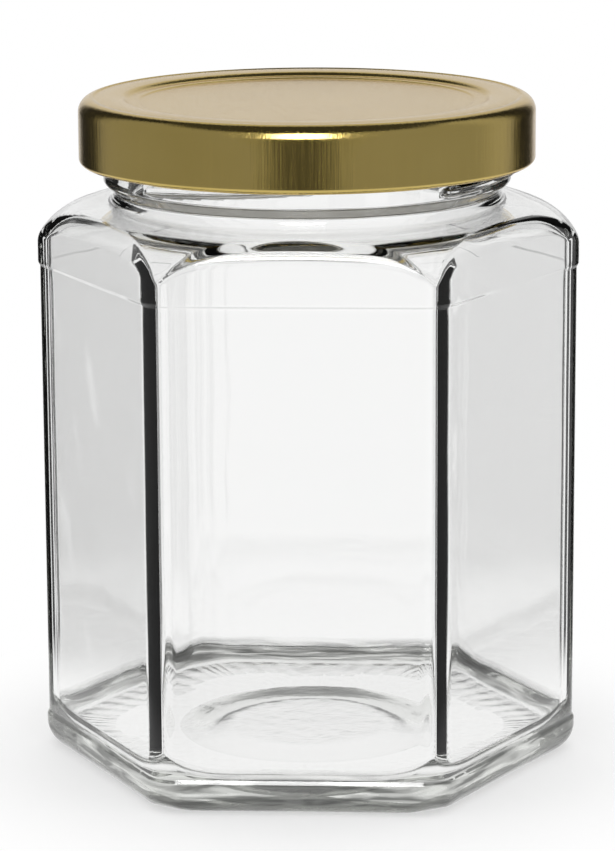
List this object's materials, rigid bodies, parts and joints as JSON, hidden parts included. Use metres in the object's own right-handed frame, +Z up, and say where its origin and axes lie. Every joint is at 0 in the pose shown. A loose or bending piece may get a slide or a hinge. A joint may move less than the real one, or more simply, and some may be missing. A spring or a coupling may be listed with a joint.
{
  "type": "hexagonal glass jar with twist-off lid",
  "caption": "Empty clear glass food jar with a hexagonal body, round neck and brass-coloured twist-off metal lid with lugs and a flowed-in seal.",
  "frame": {"origin": "middle of the base, on the plane where the jar stands", "axes": "+Z up along the axis of the neck and lid; the flat that shows in front faces -Y, and two corners of the hexagon lie on X"},
  "size_m": [0.0788, 0.0698, 0.0977],
  "materials": {
    "clear_glass": "clear flint glass, polished by the mould",
    "gold_tinplate": "gold lacquered tinplate, satin with a fine rolling grain",
    "plastisol": "off-white, matt, soft"
  },
  "bodies": {
    "root": {"glass_jar": "clear_glass", "lid": "gold_tinplate", "lid_seal": "plastisol"}
  },
  "joints": []
}
